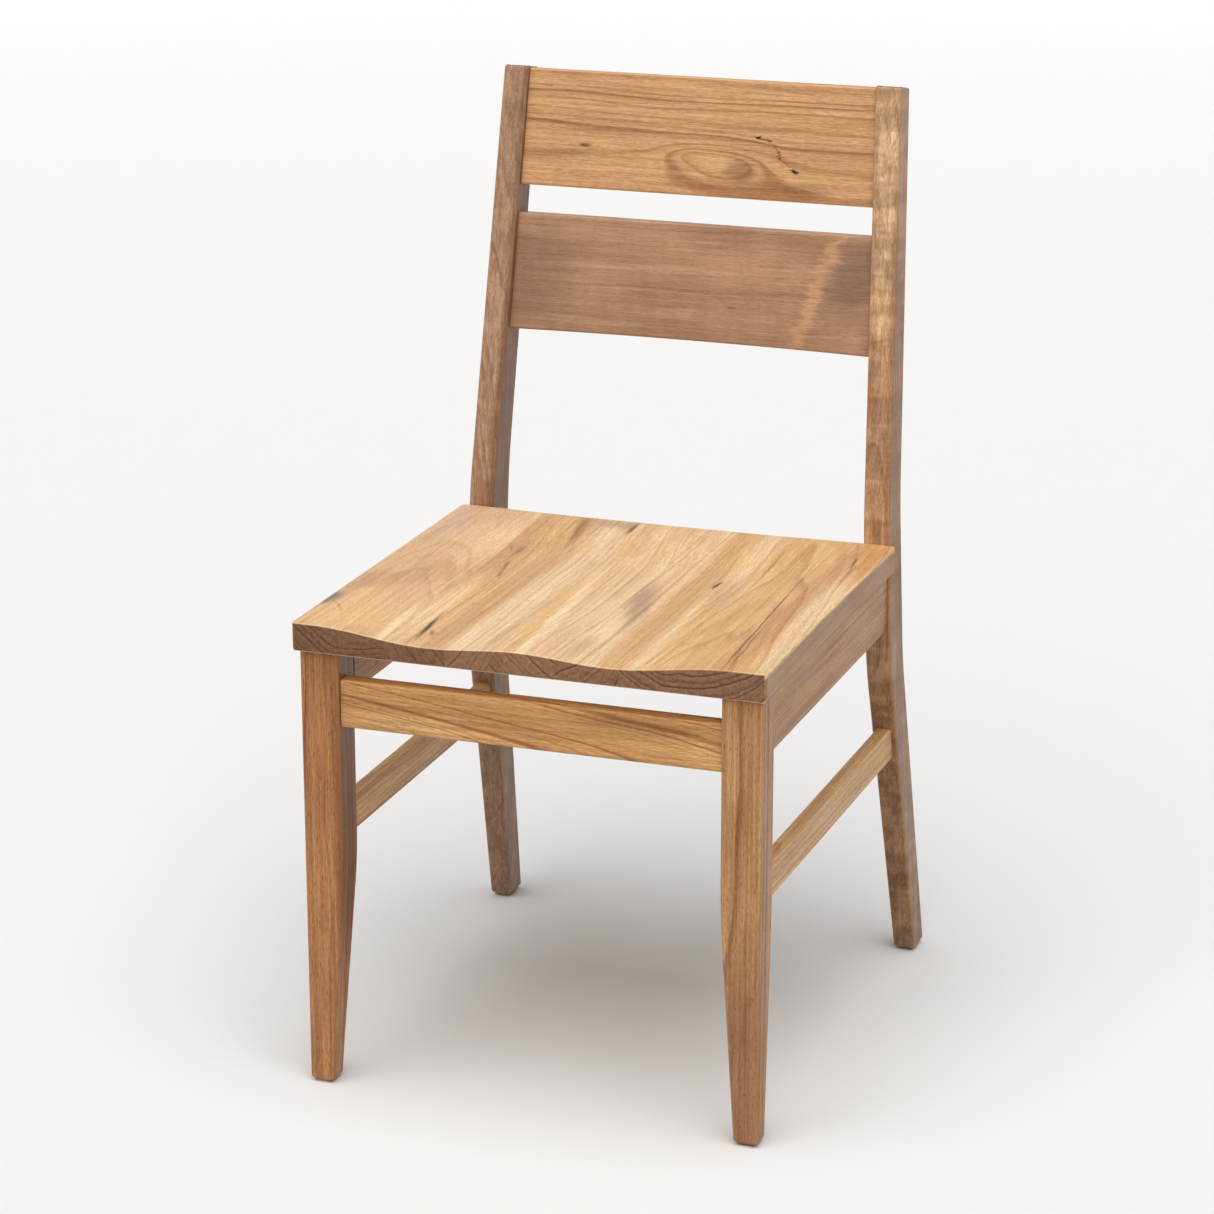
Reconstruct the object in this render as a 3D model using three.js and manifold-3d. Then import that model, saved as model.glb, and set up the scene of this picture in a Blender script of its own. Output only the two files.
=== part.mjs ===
// A solid hardwood dining chair, jointed with mortises and tenons and screwed up into its seat.
// Millimetres. +X is the sitter's left-hand side seen from the front, +Y runs from the seat's front edge
// to the back, +Z is up, and Z = 0 is the floor. Pieces are made on the +X side and mirrored to the other.
import * as THREE from "three";
import { mergeVertices } from "three/addons/utils/BufferGeometryUtils.js";
import Module from "manifold-3d";

// ---------------------------------------------------------------- driving dimensions
const OVERALL_HEIGHT = 892;
const GAP = 0.3; // glue line between two pieces

// seat
const SEAT_WIDTH = 453;
const SEAT_DEPTH = 419; // the seat butts against the fronts of the back posts
const SEAT_HEIGHT = 457; // top of the rim
const SEAT_THICKNESS = 27;
const SEAT_OVERHANG = 5; // past the legs at each side
const LEG_SETBACK = 6; // seat's front edge past the legs
const BOARD_WIDTHS = [89.5, 61, 42, 63, 60]; // the last board takes what is left
const FRONT_CORNER_RADIUS = 3.5;
const REAR_CORNER_RADIUS = 4.5;
const HOLLOW_DEPTH = 10; // two thigh hollows
const HOLLOW_OFFSET = 87; // each hollow's lowest line from the ridge between them
const HOLLOW_REACH = 113; // from there out to the flat rim at the seat's side
const SCOOP_SHIFT = -8; // the ridge lies this far to the left of the middle
const POMMEL_HEIGHT = 5; // ridge between the hollows at the front
const POMMEL_LENGTH = 190; // how far back the ridge runs out
const DISH_BACK_RIM = 8; // rim left along the back
const DISH_BACK_SLOPE = 130; // length over which the dish rises to that rim
const DISH_BACK_DIP = 0.12; // share of the depth that is left at the back edge
const SEAT_EDGE_ROUND = 2; // round along the seat's upper and lower edges

// front legs
const LEG_WIDTH = 38;
const LEG_DEPTH = 37;
const LEG_FOOT_WIDTH = 23.5;
const LEG_FOOT_DEPTH = 22;
const LEG_KNEE = 222; // the inner and rear faces taper below this height
const LEG_KNEE_ROUND = 18;

// back posts, each sawn from one plank
const POST_THICKNESS = 25.8;
const POST_FOOT_THICKNESS = 22.4;
const POST_DEPTH = 45.5; // at the seat
const POST_FOOT_DEPTH = 31.5;
const POST_TOP_DEPTH = 31.2;
const KNEE_DROP = 37.7; // from the aprons' lower edge to where the foot rakes back and out
const FOOT_KICK = 84.5; // front of the foot behind the seat
const BEND_FRONT_RISE = 17; // from the seat's rim to where the back leans
const BEND_REAR_RISE = 35;
const BACK_RAKE = 0.163; // millimetres back for each one up
const POST_BEND_ROUND = 18;
const POST_INSET = 2.3; // post's outer face inside the seat's side, at the knee
const POST_FOOT_SPLAY = 9.3; // outwards from knee to foot
const POST_TOP_DRAW = 21; // inwards from knee to top

const FOOT_BEVEL = 4;
const ARRIS = 2.5; // chamfer that stands for the rounded arrises

// rails
const APRON_THICKNESS = 20;
const APRON_HEIGHT = 61;
const APRON_RECESS = 3; // behind the legs' outer faces
const REAR_APRON_RISE = 9; // above the seat's underside, behind its rear edge
const RAIL_THICKNESS = 18;
const RAIL_HEIGHT = 45.6;
const RAIL_DROP = 27; // open slot between seat and front rail
const RAIL_RECESS = 4.5;
const STRETCHER_THICKNESS = 15;
const STRETCHER_HEIGHT = 33.5;
const STRETCHER_CLEARANCE = 228.7; // floor to its underside
const STRETCHER_RECESS = 3.2;
const STRETCHER_TOE = 2.5; // outwards from front to back
const SLAT_THICKNESS = 21;
const TOP_SLAT_WIDTH = 115;
const LOWER_SLAT_WIDTH = 116.5;
const LOWER_SLAT_ARCH = 2; // rise of its lower edge in the middle
const SLAT_DROP = 3.5; // top slat's edge below the post tops
const SLAT_GAP = 27.5;

// tenons
const TENON_THICKNESS = 8;
const TENON_SHOULDER = 6; // each tenon is this much narrower than its rail at each edge
const TENON_ROOT = 2; // overlap of a tenon with its own rail
const TENON_WALL = 4; // wood left between two tenons that meet in one post or leg
const APRON_TENON = 20;
const REAR_APRON_TENON = 14;
const STRETCHER_TENON = 18;
const SLAT_TENON = 15;
const SLAT_TENON_ROOT = 8; // longer, since the slats' ends are cut on a slant

// glue blocks and their screws
const BLOCK_LENGTH = 46;
const BLOCK_WIDTH = 14.7;
const BLOCK_HEIGHT = 45;
const SCREW_HEAD = 8;
const SCREW_RIM = 0.4;
const SCREW_SHANK = 4;
const SCREW_CONE = 3; // height of the countersunk head
const SCREW_TIP = 5;
const SCREW_BITE = 12; // into the seat or the apron
const SCREW_SPREAD = 10; // a block's two screws stand this far each side of its middle
const SCREW_DRIVE = 1.6; // square recess in the head
const SCREW_DRIVE_DEPTH = 2;

// ---------------------------------------------------------------- materials
const wood = (color, roughness = 0.55) => new THREE.MeshStandardMaterial({ color, roughness, metalness: 0 });
const seatWood = [0xc79a68, 0xc08f5e, 0xcfa673, 0xcda775, 0xc99d66, 0xc79860].map((color) => wood(color, 0.5));
const legWood = wood(0x8f6442);
const postWood = wood(0x96704f);
const railWood = wood(0xb98a55);
const apronWood = wood(0x927155);
const topSlatWood = wood(0xb78650);
const lowerSlatWood = wood(0x8f6d52);
const blockWood = wood(0x9a7a5a, 0.7);
const steel = new THREE.MeshStandardMaterial({ color: 0xb0b0aa, roughness: 0.35, metalness: 1 });

// ---------------------------------------------------------------- solids
const wasm = await Module();
wasm.setup();

function toSolid(geometry) {
  const bare = geometry.index ? geometry.toNonIndexed() : geometry.clone();
  bare.deleteAttribute("normal");
  bare.deleteAttribute("uv");
  const merged = mergeVertices(bare, 1e-4);
  const data = {
    numProp: 3,
    vertProperties: new Float32Array(merged.attributes.position.array),
    triVerts: new Uint32Array(merged.index.array),
  };
  return new wasm.Manifold(new wasm.Mesh(data));
}

function toGeometry(solid) {
  const data = solid.getMesh();
  const geometry = new THREE.BufferGeometry();
  geometry.setAttribute("position", new THREE.BufferAttribute(data.vertProperties, 3));
  geometry.setIndex(new THREE.BufferAttribute(data.triVerts, 1));
  geometry.computeVertexNormals();
  return geometry;
}

// 0 below -round, t above +round, and a parabola between: a bend with a soft corner
function bend(t, round) {
  if (t <= -round) return 0;
  if (t >= round) return t;
  return (t + round) ** 2 / (4 * round);
}

const clamp01 = (t) => Math.min(1, Math.max(0, t));
const mid = (low, high) => (low + high) / 2;
const smooth = (t) => clamp01(t) ** 2 * (3 - 2 * clamp01(t));

// A bar with chamfered arrises. place(u, v, i) gives the point for section corner (u, v) at station i;
// u and v are -1 or 1 on a face's edge, and a little less than 1 in size where the chamfer sets in.
const CUT = 0.9;
function bar(stations, place) {
  const corners = [[1, -CUT], [1, CUT], [CUT, 1], [-CUT, 1], [-1, CUT], [-1, -CUT], [-CUT, -1], [CUT, -1]];
  const section = new THREE.Shape(corners.map(([u, v]) => new THREE.Vector2(u, v)));
  const steps = stations - 1;
  const geometry = new THREE.ExtrudeGeometry(section, { depth: steps, steps, bevelEnabled: false });
  const position = geometry.attributes.position;
  for (let k = 0; k < position.count; k++) {
    const station = Math.round(position.getZ(k));
    position.setXYZ(k, ...place(position.getX(k), position.getY(k), station));
  }
  return toSolid(geometry);
}

// Distance of a section corner from the bar's middle, with the chamfer taken off
const reach = (u, half, chamfer) => Math.sign(u) * (half - (Math.abs(u) < 1 ? chamfer : 0));

// Corner between two faces at low and high
const between = (u, low, high, chamfer) => (low + high) / 2 + reach(u, (high - low) / 2, chamfer);

function box(low, high, grow = 0) {
  const size = low.map((value, axis) => high[axis] - value + 2 * grow);
  const middle = low.map((value, axis) => (high[axis] + value) / 2);
  return toSolid(new THREE.BoxGeometry(...size).translate(...middle));
}

// ---------------------------------------------------------------- shared lines
const SEAT_UNDERSIDE = SEAT_HEIGHT - SEAT_THICKNESS;
const LEG_OUTER = SEAT_WIDTH / 2 - SEAT_OVERHANG;
const LEG_REAR = LEG_SETBACK + LEG_DEPTH;
const APRON_OUTER = LEG_OUTER - APRON_RECESS;
const APRON_INNER = APRON_OUTER - APRON_THICKNESS;
const APRON_TOP = SEAT_UNDERSIDE - GAP;
const APRON_BOTTOM = APRON_TOP - APRON_HEIGHT;
const REAR_APRON_TOP = SEAT_UNDERSIDE + REAR_APRON_RISE;
const POST_KNEE = APRON_BOTTOM - KNEE_DROP;
const POST_KNEE_OUTER = SEAT_WIDTH / 2 - POST_INSET;
const BACK_BEND_FRONT = SEAT_HEIGHT + BEND_FRONT_RISE;
const BACK_BEND_REAR = SEAT_HEIGHT + BEND_REAR_RISE;
const OVERALL_DEPTH = SEAT_DEPTH + FOOT_KICK + POST_FOOT_DEPTH;

const lowerRake = FOOT_KICK / POST_KNEE;
const lowerRearRake = (FOOT_KICK + POST_FOOT_DEPTH - POST_DEPTH) / (POST_KNEE - FOOT_BEVEL);
const topSetback = BACK_RAKE * (OVERALL_HEIGHT - BACK_BEND_FRONT);
const rearRake = (topSetback + POST_TOP_DEPTH - POST_DEPTH) / (OVERALL_HEIGHT - BACK_BEND_REAR);

const postFront = (z) =>
  SEAT_DEPTH +
  lowerRake * bend(POST_KNEE - z, POST_BEND_ROUND) +
  BACK_RAKE * bend(z - BACK_BEND_FRONT, POST_BEND_ROUND);
const postRear = (z) =>
  SEAT_DEPTH +
  POST_DEPTH +
  lowerRearRake * bend(POST_KNEE - z, POST_BEND_ROUND) +
  rearRake * bend(z - BACK_BEND_REAR, POST_BEND_ROUND);
const postOuter = (z) =>
  POST_KNEE_OUTER +
  (POST_FOOT_SPLAY / POST_KNEE) * bend(POST_KNEE - z, POST_BEND_ROUND) -
  (POST_TOP_DRAW / (OVERALL_HEIGHT - POST_KNEE)) * bend(z - POST_KNEE, POST_BEND_ROUND);
const postInner = (z) =>
  postOuter(z) -
  POST_THICKNESS +
  ((POST_THICKNESS - POST_FOOT_THICKNESS) / POST_KNEE) * bend(POST_KNEE - z, POST_BEND_ROUND);

// Depth of the scooped seat below its rim
function scoop(x, y) {
  const across = Math.abs(x - SCOOP_SHIFT);
  const fall = 1 - smooth((across - HOLLOW_OFFSET) / HOLLOW_REACH);
  const crest = 1 - smooth(across / HOLLOW_OFFSET);
  const ridge = POMMEL_HEIGHT * crest * (1 - smooth(y / POMMEL_LENGTH));
  const rise = smooth((SEAT_DEPTH - DISH_BACK_RIM - y) / DISH_BACK_SLOPE);
  return (HOLLOW_DEPTH * fall - ridge) * (DISH_BACK_DIP + (1 - DISH_BACK_DIP) * rise);
}

// ---------------------------------------------------------------- screws
// A countersunk wood screw: its head's face is at the origin and its tip points along +Y
const SCREW_SIDES = 20;
function screw(length, grow) {
  const headRadius = SCREW_HEAD / 2 + grow;
  const shankRadius = SCREW_SHANK / 2 + grow;
  const profile = [
    [0, -grow],
    [headRadius, -grow],
    [headRadius, SCREW_RIM],
    [shankRadius, SCREW_CONE],
    [shankRadius, length - SCREW_TIP],
    [0, length + grow],
  ];
  const points = profile.map(([radius, along]) => new THREE.Vector2(radius, along));
  return new THREE.LatheGeometry(points, SCREW_SIDES);
}

// Turned and placed: aimed up into the seat, or sideways into the apron
function placedScrew(length, spot, sideways, grow = 0) {
  const geometry = screw(length, grow);
  if (sideways) geometry.rotateZ(-Math.PI / 2);
  else geometry.rotateX(Math.PI / 2);
  return toSolid(geometry.translate(...spot));
}

// The screw itself, with a square recess as deep below its face as the cutter stands out of it
function drivenScrew(length, spot, sideways) {
  const half = SCREW_DRIVE / 2;
  const reachOut = sideways ? [SCREW_DRIVE_DEPTH, half, half] : [half, half, SCREW_DRIVE_DEPTH];
  const low = spot.map((value, axis) => value - reachOut[axis]);
  const high = spot.map((value, axis) => value + reachOut[axis]);
  return placedScrew(length, spot, sideways).subtract(box(low, high));
}

// ---------------------------------------------------------------- pieces of one side
// Apron: tenons at both ends, the rear one only in its upper half, above the rear apron's
const apronTenonLow = mid(APRON_INNER, APRON_OUTER) - TENON_THICKNESS / 2;
const apronTenonHigh = apronTenonLow + TENON_THICKNESS;
const apronMiddle = mid(APRON_BOTTOM, APRON_TOP);
const apronFrontTenon = [
  [apronTenonLow, LEG_REAR + GAP - APRON_TENON, APRON_BOTTOM + TENON_SHOULDER],
  [apronTenonHigh, LEG_REAR + GAP + TENON_ROOT, APRON_TOP - TENON_SHOULDER],
];
const apronRearTenon = [
  [apronTenonLow, SEAT_DEPTH - GAP - TENON_ROOT, apronMiddle + TENON_WALL / 2],
  [apronTenonHigh, SEAT_DEPTH - GAP + APRON_TENON, APRON_TOP - TENON_SHOULDER],
];
const apronEnds = [LEG_REAR + GAP, SEAT_DEPTH - GAP];
const apronBody = bar(2, (u, v, i) => [
  between(v, APRON_INNER, APRON_OUTER, ARRIS),
  apronEnds[i],
  between(u, APRON_BOTTOM, APRON_TOP, ARRIS),
]);

// Stretcher: its back end follows the raked front of the post
const stretcherLow = STRETCHER_CLEARANCE;
const stretcherHigh = STRETCHER_CLEARANCE + STRETCHER_HEIGHT;
const stretcherOuter = LEG_OUTER - STRETCHER_RECESS;
const stretcherBody = bar(2, (u, v, i) => {
  const z = between(u, stretcherLow, stretcherHigh, ARRIS);
  const x = between(v, stretcherOuter - STRETCHER_THICKNESS, stretcherOuter, ARRIS);
  return i === 0 ? [x, LEG_REAR + GAP, z] : [x + STRETCHER_TOE, postFront(z) - GAP, z];
});
const stretcherCentre = stretcherOuter - STRETCHER_THICKNESS / 2;
const stretcherTenon = (x, y0, y1) => [
  [x - TENON_THICKNESS / 2, y0, stretcherLow + TENON_SHOULDER],
  [x + TENON_THICKNESS / 2, y1, stretcherHigh - TENON_SHOULDER],
];
const stretcherFrontTenon = stretcherTenon(
  stretcherCentre,
  LEG_REAR + GAP - STRETCHER_TENON,
  LEG_REAR + GAP + TENON_ROOT,
);
const stretcherRearTenon = stretcherTenon(
  stretcherCentre + STRETCHER_TOE,
  postFront(stretcherHigh) - GAP - TENON_ROOT,
  postFront(stretcherLow) + STRETCHER_TENON,
);

// Front rail: a plain bar between the legs, set back from their faces
const railTop = SEAT_UNDERSIDE - RAIL_DROP;
const railBottom = railTop - RAIL_HEIGHT;
const railFront = LEG_SETBACK + RAIL_RECESS;
const railEnd = LEG_OUTER - LEG_WIDTH - GAP;
const railCentre = railFront + RAIL_THICKNESS / 2;
const railTenon = [
  [railEnd - TENON_ROOT, railCentre - TENON_THICKNESS / 2, railBottom + TENON_SHOULDER],
  [apronTenonLow - TENON_WALL, railCentre + TENON_THICKNESS / 2, railTop - TENON_SHOULDER],
];

// Rear apron: between the posts, flush with their fronts, tenoned below the side aprons' tenons
const rearApronTenonCentre = SEAT_DEPTH + APRON_THICKNESS / 2;
const rearApronTenon = [
  [
    postInner(APRON_TOP) - GAP - TENON_ROOT,
    rearApronTenonCentre - TENON_THICKNESS / 2,
    APRON_BOTTOM + TENON_SHOULDER,
  ],
  [
    postInner(APRON_TOP) + REAR_APRON_TENON,
    rearApronTenonCentre + TENON_THICKNESS / 2,
    apronMiddle - TENON_WALL / 2,
  ],
];

// Slats: in the middle of the posts' depth, leaning with them
const slatLean = Math.atan((BACK_RAKE + rearRake) / 2);
const slatCentreY = (z) => mid(postFront(z), postRear(z));
const topSlatZ = OVERALL_HEIGHT - SLAT_DROP - (TOP_SLAT_WIDTH / 2) * Math.cos(slatLean);
const lowerSlatZ =
  topSlatZ - (mid(TOP_SLAT_WIDTH, LOWER_SLAT_WIDTH) + SLAT_GAP) * Math.cos(slatLean);

// Point of a slat from its own middle: up its width and back through its thickness
const onSlat = (centreZ, up, back) => [
  slatCentreY(centreZ) + up * Math.sin(slatLean) + back * Math.cos(slatLean),
  centreZ + up * Math.cos(slatLean) - back * Math.sin(slatLean),
];

function slatTenon(centreZ, width, side, grow = 0) {
  const inner = postInner(centreZ) - SLAT_TENON_ROOT;
  const outer = postInner(centreZ) + SLAT_TENON;
  const size = [outer - inner, TENON_THICKNESS, width - 2 * TENON_SHOULDER].map((value) => value + 2 * grow);
  const tenon = new THREE.BoxGeometry(...size).rotateX(-slatLean);
  return toSolid(tenon.translate(side * mid(inner, outer), slatCentreY(centreZ), centreZ));
}

const SLAT_STATIONS = 13;
function slat(centreZ, width, arch) {
  const body = bar(SLAT_STATIONS, (u, v, i) => {
    const along = (2 * i) / (SLAT_STATIONS - 1) - 1;
    const up = reach(v, width / 2, ARRIS) + (v < 0 ? arch * (1 - along ** 2) : 0);
    const [y, z] = onSlat(centreZ, up, reach(u, SLAT_THICKNESS / 2, ARRIS));
    return [along * (postInner(z) - GAP), y, z];
  });
  return body.add(slatTenon(centreZ, width, 1)).add(slatTenon(centreZ, width, -1));
}

// Front leg: outer and front faces straight, inner and rear faces tapered below the knee
// Heights through a soft bend at a level, from where it starts to where it ends
const BEND_STEPS = [-1, -0.5, 0, 0.5, 1];
const bendLevels = (level, round) => BEND_STEPS.map((step) => level + step * round);
const legLevels = [0, FOOT_BEVEL, ...bendLevels(LEG_KNEE, LEG_KNEE_ROUND), SEAT_UNDERSIDE - GAP];
const legBody = bar(legLevels.length, (u, v, i) => {
  const z = legLevels[i];
  const taper = bend(LEG_KNEE - z, LEG_KNEE_ROUND) / LEG_KNEE;
  const inset = i === 0 ? FOOT_BEVEL : 0;
  const width = LEG_WIDTH - (LEG_WIDTH - LEG_FOOT_WIDTH) * taper;
  const depth = LEG_DEPTH - (LEG_DEPTH - LEG_FOOT_DEPTH) * taper;
  return [
    between(u, LEG_OUTER - width + inset, LEG_OUTER - inset, ARRIS),
    between(v, LEG_SETBACK + inset, LEG_SETBACK + depth - inset, ARRIS),
    z,
  ];
});
const frontLeg = legBody
  .subtract(box(...apronFrontTenon, GAP))
  .subtract(box(...stretcherFrontTenon, GAP))
  .subtract(box(...railTenon, GAP));

// Back post: raked foot, upright at the seat, leaning back above it
const postLevels = [POST_KNEE, BACK_BEND_FRONT, BACK_BEND_REAR].flatMap((level) =>
  bendLevels(level, POST_BEND_ROUND),
);
postLevels.push(0, FOOT_BEVEL, OVERALL_HEIGHT - ARRIS, OVERALL_HEIGHT);
const postStations = [...new Set(postLevels)].sort((a, b) => a - b);
const postBody = bar(postStations.length, (u, v, i) => {
  const level = postStations[i];
  const last = i === postStations.length - 1;
  const inset = i === 0 ? FOOT_BEVEL : last ? ARRIS : 0;
  // the top is sawn square to the leaning post, so it falls towards the back
  const nearTop = level >= OVERALL_HEIGHT - ARRIS;
  const z = nearTop ? level - ((v + 1) / 2) * POST_TOP_DEPTH * Math.tan(slatLean) : level;
  return [
    between(u, postInner(z) + inset, postOuter(z) - inset, ARRIS),
    between(v, postFront(z) + inset, postRear(z) - inset, ARRIS),
    z,
  ];
});
const backPost = postBody
  .subtract(box(...apronRearTenon, GAP))
  .subtract(box(...stretcherRearTenon, GAP))
  .subtract(box(...rearApronTenon, GAP))
  .subtract(slatTenon(topSlatZ, TOP_SLAT_WIDTH, 1, GAP))
  .subtract(slatTenon(lowerSlatZ, LOWER_SLAT_WIDTH, 1, GAP));

// Glue blocks: in the corners behind each leg and before each post, against apron and seat
const blockOuter = APRON_INNER - GAP;
const blockInner = blockOuter - BLOCK_WIDTH;
const blockX = mid(blockInner, blockOuter);
const blockBottom = APRON_TOP - BLOCK_HEIGHT;
const blockStart = {
  front: LEG_REAR + GAP,
  rear: SEAT_DEPTH - GAP - BLOCK_LENGTH,
};
const seatScrewLength = BLOCK_HEIGHT + SCREW_BITE;
const apronScrewLength = BLOCK_WIDTH + SCREW_BITE;
const blocks = Object.entries(blockStart).map(([place, start]) => {
  const centre = start + BLOCK_LENGTH / 2;
  return {
    place,
    start,
    seatScrew: [seatScrewLength, [blockX, centre - SCREW_SPREAD, blockBottom], false],
    apronScrew: [apronScrewLength, [blockInner, centre + SCREW_SPREAD, blockBottom + BLOCK_HEIGHT / 2], true],
  };
});

let sideApron = apronBody.add(box(...apronFrontTenon)).add(box(...apronRearTenon));
for (const { apronScrew } of blocks) sideApron = sideApron.subtract(placedScrew(...apronScrew, GAP));
const sideStretcher = stretcherBody.add(box(...stretcherFrontTenon)).add(box(...stretcherRearTenon));

// ---------------------------------------------------------------- pieces across the chair
const mirrored = ([low, high]) => [
  [-high[0], low[1], low[2]],
  [-low[0], high[1], high[2]],
];
const frontRail = bar(2, (u, v, i) => [
  i === 0 ? -railEnd : railEnd,
  between(u, railFront, railFront + RAIL_THICKNESS, ARRIS),
  between(v, railBottom, railTop, ARRIS),
])
  .add(box(...railTenon))
  .add(box(...mirrored(railTenon)));

const rearApron = bar(2, (u, v, i) => {
  const z = between(v, APRON_BOTTOM, REAR_APRON_TOP, ARRIS);
  const y = between(u, SEAT_DEPTH, SEAT_DEPTH + APRON_THICKNESS, ARRIS);
  return [(i === 0 ? -1 : 1) * (postInner(z) - GAP), y, z];
})
  .add(box(...rearApronTenon))
  .add(box(...mirrored(rearApronTenon)));

// Seat: edge-glued boards, cut to the seat's outline and scooped together
function seatOutline() {
  const half = SEAT_WIDTH / 2;
  const back = SEAT_DEPTH - GAP;
  const front = FRONT_CORNER_RADIUS;
  const rear = REAR_CORNER_RADIUS;
  const shape = new THREE.Shape();
  shape.moveTo(-half + front, 0);
  shape.absarc(half - front, front, front, -Math.PI / 2, 0);
  shape.absarc(half - rear, back - rear, rear, 0, Math.PI / 2);
  shape.absarc(-half + rear, back - rear, rear, Math.PI / 2, Math.PI);
  shape.absarc(-half + front, front, front, Math.PI, 1.5 * Math.PI);
  const settings = {
    depth: SEAT_THICKNESS - 2 * SEAT_EDGE_ROUND,
    bevelThickness: SEAT_EDGE_ROUND,
    bevelSize: SEAT_EDGE_ROUND,
    bevelOffset: -SEAT_EDGE_ROUND,
    bevelSegments: 2,
    curveSegments: 6,
  };
  const slab = new THREE.ExtrudeGeometry(shape, settings);
  return toSolid(slab.translate(0, 0, SEAT_UNDERSIDE + SEAT_EDGE_ROUND));
}

// A board is cut from stock that stands proud of the seat's outline, and trimmed to it
const STOCK_EXTRA = 1;
const BOARD_CELLS = { across: 9, along: 22 };
function scoopedBoard(left, right) {
  const size = [right - left, SEAT_DEPTH + 2 * STOCK_EXTRA, SEAT_THICKNESS + STOCK_EXTRA];
  const board = new THREE.BoxGeometry(...size, BOARD_CELLS.across, BOARD_CELLS.along, 1);
  board.translate(mid(left, right), SEAT_DEPTH / 2, SEAT_HEIGHT - size[2] / 2);
  const position = board.attributes.position;
  for (let k = 0; k < position.count; k++) {
    if (position.getZ(k) < SEAT_UNDERSIDE) continue;
    position.setZ(k, SEAT_HEIGHT - scoop(position.getX(k), position.getY(k)));
  }
  return toSolid(board);
}

const outline = seatOutline();
let edge = -SEAT_WIDTH / 2;
const boardEdges = [edge, ...BOARD_WIDTHS.map((width) => (edge += width)), SEAT_WIDTH / 2];
const seatBoards = boardEdges.slice(1).map((right, k) => {
  const start = boardEdges[k] + (k === 0 ? -STOCK_EXTRA : GAP / 2);
  const end = right + (right === SEAT_WIDTH / 2 ? STOCK_EXTRA : -GAP / 2);
  return scoopedBoard(start, end).intersect(outline);
});
for (const { seatScrew } of blocks) {
  const [length, [x, y, z]] = seatScrew;
  seatBoards.forEach((board, k) => {
    for (const side of [-1, 1]) {
      const crosses = side * x + SCREW_HEAD > boardEdges[k] && side * x - SCREW_HEAD < boardEdges[k + 1];
      if (crosses) seatBoards[k] = seatBoards[k].subtract(placedScrew(length, [side * x, y, z], false, GAP));
    }
  });
}

// ---------------------------------------------------------------- assembly
const chair = new THREE.Group();
chair.position.y = -OVERALL_DEPTH / 2; // origin under the middle of the chair's box

function addMesh(group, name, solid, material) {
  const mesh = new THREE.Mesh(toGeometry(solid), material);
  mesh.name = name;
  group.add(mesh);
}

seatBoards.forEach((board, k) => addMesh(chair, `seat_board_${k + 1}`, board, seatWood[k % seatWood.length]));
addMesh(chair, "front_rail", frontRail, railWood);
addMesh(chair, "rear_apron", rearApron, apronWood);
addMesh(chair, "top_slat", slat(topSlatZ, TOP_SLAT_WIDTH, 0), topSlatWood);
addMesh(chair, "lower_slat", slat(lowerSlatZ, LOWER_SLAT_WIDTH, LOWER_SLAT_ARCH), lowerSlatWood);

for (const [side, sign] of [["right", 1], ["left", -1]]) {
  const half = new THREE.Group();
  half.scale.x = sign;
  chair.add(half);
  addMesh(half, `front_leg_${side}`, frontLeg, legWood);
  addMesh(half, `back_post_${side}`, backPost, postWood);
  addMesh(half, `side_apron_${side}`, sideApron, apronWood);
  addMesh(half, `side_stretcher_${side}`, sideStretcher, railWood);
  for (const { place, start, seatScrew, apronScrew } of blocks) {
    const block = box([blockInner, start, blockBottom], [blockOuter, start + BLOCK_LENGTH, APRON_TOP])
      .subtract(placedScrew(...seatScrew, GAP))
      .subtract(placedScrew(...apronScrew, GAP));
    addMesh(half, `${place}_glue_block_${side}`, block, blockWood);
    addMesh(half, `${place}_seat_screw_${side}`, drivenScrew(...seatScrew), steel);
    addMesh(half, `${place}_apron_screw_${side}`, drivenScrew(...apronScrew), steel);
  }
}

export default chair;
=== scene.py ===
"""A solid hardwood dining chair, built up as a chair maker would: legs and posts, the rails between them,
the back slats, the glue blocks, the scooped seat boards and their screws. Metres, the floor at z = 0."""
from math import pi, radians

import bmesh
import bpy
import numpy as np
from mathutils import Matrix, Vector


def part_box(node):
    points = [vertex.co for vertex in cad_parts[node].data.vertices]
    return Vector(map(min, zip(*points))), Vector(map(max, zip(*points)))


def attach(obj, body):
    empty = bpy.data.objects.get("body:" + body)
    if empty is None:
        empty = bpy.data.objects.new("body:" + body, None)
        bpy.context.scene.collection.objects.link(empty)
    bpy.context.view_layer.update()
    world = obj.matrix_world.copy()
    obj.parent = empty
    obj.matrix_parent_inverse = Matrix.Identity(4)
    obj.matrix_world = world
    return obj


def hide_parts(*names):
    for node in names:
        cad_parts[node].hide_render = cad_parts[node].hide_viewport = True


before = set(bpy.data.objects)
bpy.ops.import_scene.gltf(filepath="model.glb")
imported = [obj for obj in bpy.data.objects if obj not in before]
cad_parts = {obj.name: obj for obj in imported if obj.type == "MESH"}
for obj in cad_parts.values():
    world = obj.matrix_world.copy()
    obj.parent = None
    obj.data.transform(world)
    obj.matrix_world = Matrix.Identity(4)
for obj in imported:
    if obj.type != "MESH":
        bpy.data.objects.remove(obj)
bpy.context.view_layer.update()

# ---------------------------------------------------------------- front legs
# Two straight hardwood legs, square in section down to a soft knee, then tapered on their inner and rear
# faces only. Planed, sanded, eased along the arrises and bevelled round the foot.
MM = 0.001
LEG_FOOT_WIDTH = 23.5 * MM
LEG_FOOT_DEPTH = 22 * MM
LEG_KNEE = 222 * MM
LEG_KNEE_ROUND = 26 * MM
FOOT_BEVEL = 5 * MM
BEVEL_START = 1.25
ARRIS_RADIUS = 2.6 * MM
ARRIS_POINTS = 7
END_STEPS = 9
SHARP_ANGLE = radians(40)


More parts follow.
